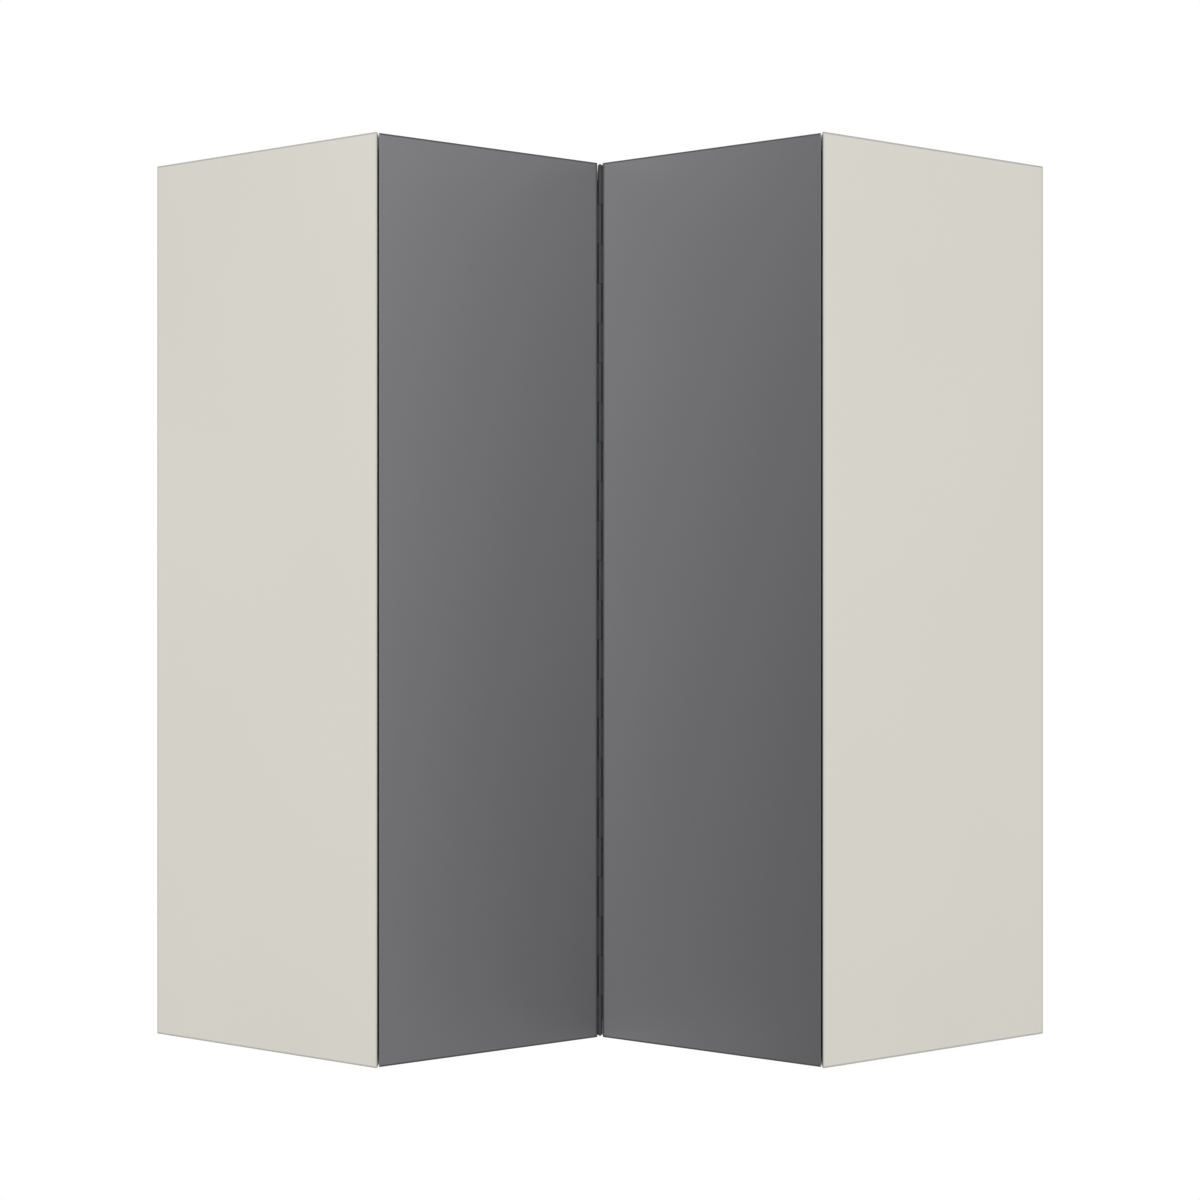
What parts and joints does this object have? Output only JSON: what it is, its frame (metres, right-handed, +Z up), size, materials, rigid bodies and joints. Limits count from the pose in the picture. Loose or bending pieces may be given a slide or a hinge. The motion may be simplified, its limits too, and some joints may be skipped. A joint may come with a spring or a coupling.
{
  "type": "corner wall cabinet",
  "caption": "L-shaped corner wall cabinet with two doors hinged together at the inner corner, adjustable shelves, concealed hinges, a push latch and wall hangers.",
  "frame": {"origin": "the corner of the room at the height of the cabinet's underside", "axes": "+Z up; +X along the back wall under the right wing; -Y along the left wall under the left wing"},
  "size_m": [0.65, 0.65, 0.9],
  "materials": {
    "carcase_board": "matt warm light grey melamine on chipboard",
    "back_board": "matt light grey coated fibreboard",
    "door_lacquer": "satin mid grey lacquer on fibreboard",
    "nickel": "nickel plated",
    "steel": "zinc plated",
    "dark_steel": "dark satin coating",
    "grey_plastic": "moulded, matt",
    "soft_bumper": "clear soft"
  },
  "bodies": {
    "carcase": {"right_side_panel": "carcase_board", "left_side_panel": "carcase_board", "bottom_panel": "carcase_board", "top_panel": "carcase_board", "right_back_panel": "back_board", "left_back_panel": "back_board", "corner_post": "carcase_board", "lower_shelf": "carcase_board", "upper_shelf": "carcase_board", "lower_right_front_pin": "steel", "lower_right_rear_pin": "steel", "lower_left_front_pin": "steel", "lower_left_rear_pin": "steel", "upper_right_front_pin": "steel", "upper_right_rear_pin": "steel", "upper_left_front_pin": "steel", "upper_left_rear_pin": "steel", "lower_post_pin": "steel", "upper_post_pin": "steel", "right_hanger_housing": "grey_plastic", "left_hanger_housing": "grey_plastic", "right_hanger_hook": "steel", "left_hanger_hook": "steel", "right_wall_plate": "steel", "left_wall_plate": "steel", "bottom_hinge_plate": "nickel", "middle_hinge_plate": "nickel", "top_hinge_plate": "nickel", "bottom_hinge_arm": "nickel", "middle_hinge_arm": "nickel", "top_hinge_arm": "nickel", "latch_housing": "grey_plastic"},
    "left_leaf": {"left_door": "door_lacquer", "bottom_hinge_cup": "nickel", "middle_hinge_cup": "nickel", "top_hinge_cup": "nickel", "corner_hinge_left_strip": "dark_steel", "corner_hinge_pin": "dark_steel"},
    "right_leaf": {"right_door": "door_lacquer", "corner_hinge_right_strip": "dark_steel", "latch_catch_plate": "nickel", "bottom_bumper": "soft_bumper", "top_bumper": "soft_bumper"},
    "front_links": {"bottom_hinge_front_link": "nickel", "middle_hinge_front_link": "nickel", "top_hinge_front_link": "nickel"},
    "rear_links": {"bottom_hinge_rear_link": "nickel", "middle_hinge_rear_link": "nickel", "top_hinge_rear_link": "nickel"},
    "front_couplers": {"bottom_hinge_front_coupler": "nickel", "middle_hinge_front_coupler": "nickel", "top_hinge_front_coupler": "nickel"},
    "rear_couplers": {"bottom_hinge_rear_coupler": "nickel", "middle_hinge_rear_coupler": "nickel", "top_hinge_rear_coupler": "nickel"},
    "plunger": {"latch_plunger": "grey_plastic", "latch_magnet": "steel"}
  },
  "joints": [
    {"name": "door_swing", "type": "hinge", "parent": "carcase", "child": "left_leaf", "pos_m": [0.349, -0.649, 0.45], "axis": [0, 0, -1], "range_deg": [0, 105]},
    {"name": "door_fold", "type": "hinge", "parent": "left_leaf", "child": "right_leaf", "pos_m": [0.35, -0.35, 0.45], "axis": [0, 0, -1], "range_deg": [0, 65]},
    {"name": "front_link_swing", "type": "hinge", "parent": "carcase", "child": "front_links", "pos_m": [0.32295, -0.62714, 0.45], "axis": [0, 0, -1], "range_deg": [0, 105]},
    {"name": "rear_link_swing", "type": "hinge", "parent": "carcase", "child": "rear_links", "pos_m": [0.31376, -0.61943, 0.45], "axis": [0, 0, -1], "range_deg": [0, 105]},
    {"name": "front_coupler_turn", "type": "hinge", "parent": "front_links", "child": "front_couplers", "pos_m": [0.31239, -0.59715, 0.45], "axis": [0, 0, -1], "range_deg": [-105, 0]},
    {"name": "rear_coupler_turn", "type": "hinge", "parent": "front_links", "child": "rear_couplers", "pos_m": [0.30801, -0.5847, 0.45], "axis": [0, 0, -1], "range_deg": [-105, 0]},
    {"name": "plunger_slide", "type": "slide", "parent": "carcase", "child": "plunger", "axis": [0, -1, 0], "range_m": [0, 0.014]}
  ],
  "couplings": [
    {"joint": "front_link_swing", "follows": "door_swing", "ratio": 1},
    {"joint": "rear_link_swing", "follows": "door_swing", "ratio": 1},
    {"joint": "front_coupler_turn", "follows": "door_swing", "ratio": -1},
    {"joint": "rear_coupler_turn", "follows": "door_swing", "ratio": -1},
    {"joint": "plunger_slide", "follows": "door_fold", "m_per_rad": 0.01234}
  ]
}
